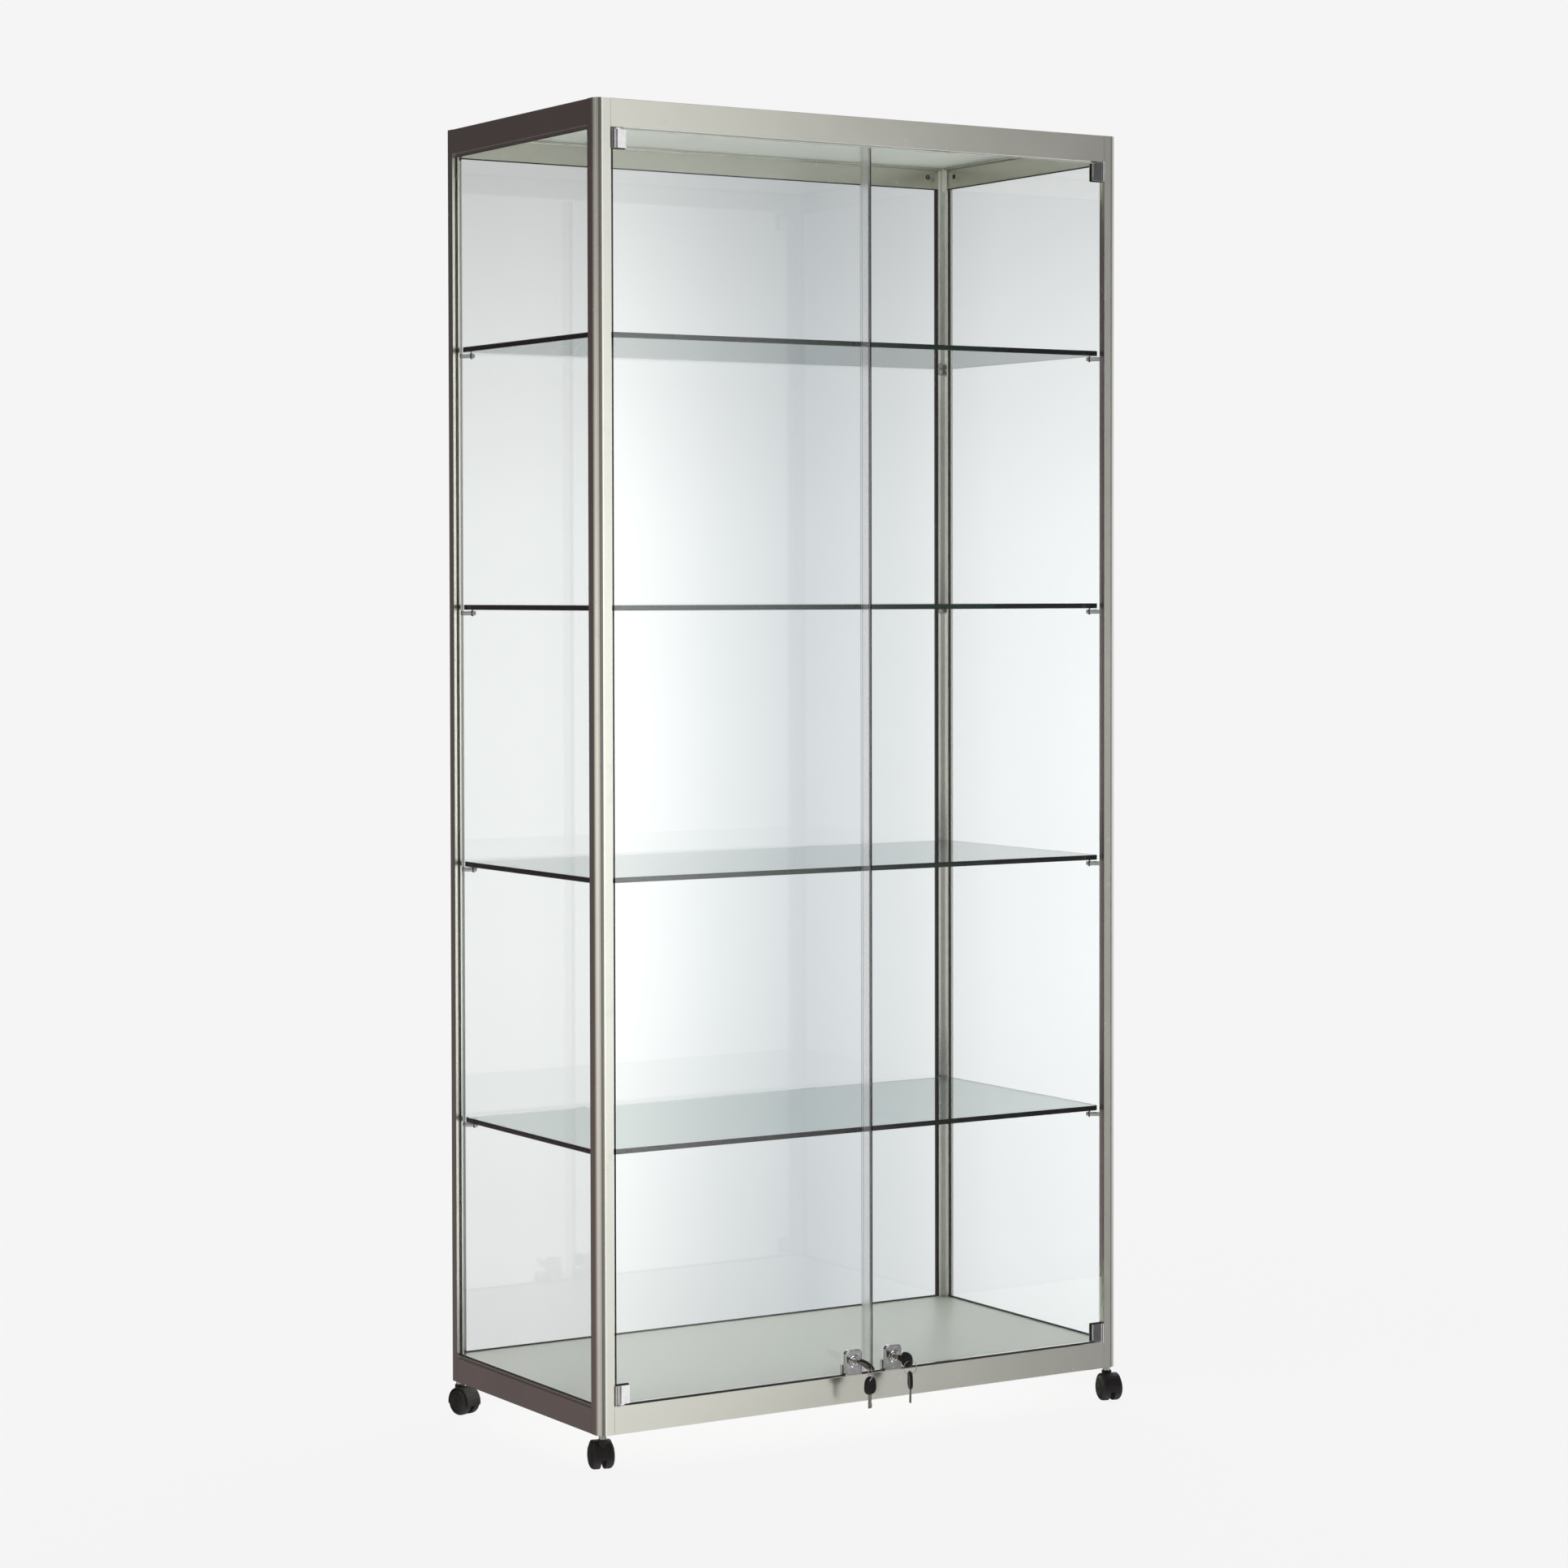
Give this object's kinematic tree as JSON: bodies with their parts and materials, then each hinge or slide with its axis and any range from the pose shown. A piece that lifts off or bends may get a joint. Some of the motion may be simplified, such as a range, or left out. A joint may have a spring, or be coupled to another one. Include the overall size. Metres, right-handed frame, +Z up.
{
  "type": "glass display showcase",
  "caption": "Free-standing glass showcase: metal frame, two hinged glass doors with key locks, glass shelves on pegs and twin-wheel castors.",
  "frame": {"origin": "centre of the whole box, on the floor that the castors stand on", "axes": "+Z up; the doors and locks face -Y; +X to the right as seen from the front"},
  "size_m": [0.9126, 0.5252, 1.915],
  "materials": {
    "anodised_aluminium": "satin champagne-silver anodised",
    "pane_glass": "clear float glass",
    "door_glass": "clear toughened glass",
    "shelf_glass": "clear toughened glass with dark green polished edges",
    "pale_laminate": "pale greenish-white laminate",
    "chrome": "polished chrome plate",
    "bright_steel": "zinc-plated steel",
    "black_nylon": "moulded black nylon",
    "wheel_nylon": "moulded black nylon tread",
    "key_bow_plastic": "moulded black plastic bow on a nickel blade",
    "clear_seal": "translucent extruded plastic"
  },
  "bodies": {
    "cabinet": {"base_panel": "pale_laminate", "bottom_rail_front": "anodised_aluminium", "bottom_rail_left": "anodised_aluminium", "bottom_rail_rear": "anodised_aluminium", "bottom_rail_right": "anodised_aluminium", "castor_stem_front_left": "bright_steel", "castor_stem_front_right": "bright_steel", "castor_stem_rear_left": "bright_steel", "castor_stem_rear_right": "bright_steel", "glass_left": "pane_glass", "glass_rear": "pane_glass", "glass_right": "pane_glass", "hinge_bracket_bottom_left": "chrome", "hinge_bracket_bottom_right": "chrome", "hinge_bracket_top_left": "chrome", "hinge_bracket_top_right": "chrome", "peg_strip_front_left": "bright_steel", "peg_strip_front_right": "bright_steel", "peg_strip_rear_left": "bright_steel", "peg_strip_rear_right": "bright_steel", "post_front_left": "anodised_aluminium", "post_front_right": "anodised_aluminium", "post_rear_left": "anodised_aluminium", "post_rear_right": "anodised_aluminium", "shelf_1": "shelf_glass", "shelf_2": "shelf_glass", "shelf_3": "shelf_glass", "shelf_4": "shelf_glass", "top_panel": "pale_laminate", "top_rail_front": "anodised_aluminium", "top_rail_left": "anodised_aluminium", "top_rail_rear": "anodised_aluminium", "top_rail_right": "anodised_aluminium"},
    "left_door": {"door_glass_left": "door_glass", "hinge_clamp_top_left": "chrome", "hinge_clamp_bottom_left": "chrome", "lock_body_left": "chrome", "door_seal": "clear_seal"},
    "left_key": {"lock_key_left": "key_bow_plastic"},
    "left_bolt": {"lock_bolt_left": "bright_steel"},
    "left_spare_key": {"spare_key_left": "key_bow_plastic"},
    "right_door": {"door_glass_right": "door_glass", "hinge_clamp_top_right": "chrome", "hinge_clamp_bottom_right": "chrome", "lock_body_right": "chrome"},
    "right_key": {"lock_key_right": "key_bow_plastic"},
    "right_bolt": {"lock_bolt_right": "bright_steel"},
    "right_spare_key": {"spare_key_right": "key_bow_plastic"},
    "castor_front_left": {"castor_hood_front_left": "black_nylon"},
    "wheel_front_left_a": {"castor_wheel_front_left_a": "wheel_nylon"},
    "wheel_front_left_b": {"castor_wheel_front_left_b": "wheel_nylon"},
    "castor_front_right": {"castor_hood_front_right": "black_nylon"},
    "wheel_front_right_a": {"castor_wheel_front_right_a": "wheel_nylon"},
    "wheel_front_right_b": {"castor_wheel_front_right_b": "wheel_nylon"},
    "castor_rear_left": {"castor_hood_rear_left": "black_nylon"},
    "wheel_rear_left_a": {"castor_wheel_rear_left_a": "wheel_nylon"},
    "wheel_rear_left_b": {"castor_wheel_rear_left_b": "wheel_nylon"},
    "castor_rear_right": {"castor_hood_rear_right": "black_nylon"},
    "wheel_rear_right_a": {"castor_wheel_rear_right_a": "wheel_nylon"},
    "wheel_rear_right_b": {"castor_wheel_rear_right_b": "wheel_nylon"}
  },
  "joints": [
    {"name": "left_door_hinge", "type": "hinge", "parent": "cabinet", "child": "left_door", "pos_m": [-0.4217, -0.20269, 0.093], "axis": [0, 0, -1], "range_deg": [0, 105]},
    {"name": "left_key_turn", "type": "hinge", "parent": "left_door", "child": "left_key", "pos_m": [-0.0308, -0.20839, 0.112], "axis": [0, 1, 0], "range_deg": [0, 90]},
    {"name": "left_bolt_slide", "type": "slide", "parent": "left_door", "child": "left_bolt", "axis": [0, 0, -1], "range_m": [0, 0.008]},
    {"name": "left_spare_key_swing", "type": "hinge", "parent": "left_door", "child": "left_spare_key", "pos_m": [-0.0308, -0.25069, 0.112], "axis": [0, 1, 0], "range_deg": [-45, 45]},
    {"name": "right_door_hinge", "type": "hinge", "parent": "cabinet", "child": "right_door", "pos_m": [0.4217, -0.20269, 0.093], "axis": [0, 0, 1], "range_deg": [0, 105]},
    {"name": "right_key_turn", "type": "hinge", "parent": "right_door", "child": "right_key", "pos_m": [0.0386, -0.20839, 0.112], "axis": [0, 1, 0], "range_deg": [0, 90]},
    {"name": "right_bolt_slide", "type": "slide", "parent": "right_door", "child": "right_bolt", "axis": [0, 0, -1], "range_m": [0, 0.008]},
    {"name": "right_spare_key_swing", "type": "hinge", "parent": "right_door", "child": "right_spare_key", "pos_m": [0.0386, -0.25069, 0.112], "axis": [0, 1, 0], "range_deg": [-45, 45]},
    {"name": "castor_front_left_swivel", "type": "hinge", "parent": "cabinet", "child": "castor_front_left", "pos_m": [-0.439, -0.19019, 0.0436], "axis": [0, 0, 1], "continuous": true},
    {"name": "wheel_front_left_a_spin", "type": "hinge", "parent": "castor_front_left", "child": "wheel_front_left_a", "pos_m": [-0.43641, -0.18053, 0.0195], "axis": [-0.9659, 0.2588, 0], "continuous": true},
    {"name": "wheel_front_left_b_spin", "type": "hinge", "parent": "castor_front_left", "child": "wheel_front_left_b", "pos_m": [-0.43641, -0.18053, 0.0195], "axis": [-0.9659, 0.2588, 0], "continuous": true},
    {"name": "castor_front_right_swivel", "type": "hinge", "parent": "cabinet", "child": "castor_front_right", "pos_m": [0.439, -0.19019, 0.0436], "axis": [0, 0, 1], "continuous": true},
    {"name": "wheel_front_right_a_spin", "type": "hinge", "parent": "castor_front_right", "child": "wheel_front_right_a", "pos_m": [0.43641, -0.19985, 0.0195], "axis": [0.9659, -0.2588, 0], "continuous": true},
    {"name": "wheel_front_right_b_spin", "type": "hinge", "parent": "castor_front_right", "child": "wheel_front_right_b", "pos_m": [0.43641, -0.19985, 0.0195], "axis": [0.9659, -0.2588, 0], "continuous": true},
    {"name": "castor_rear_left_swivel", "type": "hinge", "parent": "cabinet", "child": "castor_rear_left", "pos_m": [-0.439, 0.24781, 0.0436], "axis": [0, 0, 1], "continuous": true},
    {"name": "wheel_rear_left_a_spin", "type": "hinge", "parent": "castor_rear_left", "child": "wheel_rear_left_a", "pos_m": [-0.43641, 0.23815, 0.0195], "axis": [0.9659, 0.2588, 0], "continuous": true},
    {"name": "wheel_rear_left_b_spin", "type": "hinge", "parent": "castor_rear_left", "child": "wheel_rear_left_b", "pos_m": [-0.43641, 0.23815, 0.0195], "axis": [0.9659, 0.2588, 0], "continuous": true},
    {"name": "castor_rear_right_swivel", "type": "hinge", "parent": "cabinet", "child": "castor_rear_right", "pos_m": [0.439, 0.24781, 0.0436], "axis": [0, 0, 1], "continuous": true},
    {"name": "wheel_rear_right_a_spin", "type": "hinge", "parent": "castor_rear_right", "child": "wheel_rear_right_a", "pos_m": [0.43641, 0.23815, 0.0195], "axis": [0.9659, -0.2588, 0], "continuous": true},
    {"name": "wheel_rear_right_b_spin", "type": "hinge", "parent": "castor_rear_right", "child": "wheel_rear_right_b", "pos_m": [0.43641, 0.23815, 0.0195], "axis": [0.9659, -0.2588, 0], "continuous": true}
  ],
  "couplings": [
    {"joint": "left_key_turn", "follows": "left_bolt_slide", "rad_per_m": 196.33},
    {"joint": "right_key_turn", "follows": "right_bolt_slide", "rad_per_m": 196.33}
  ]
}
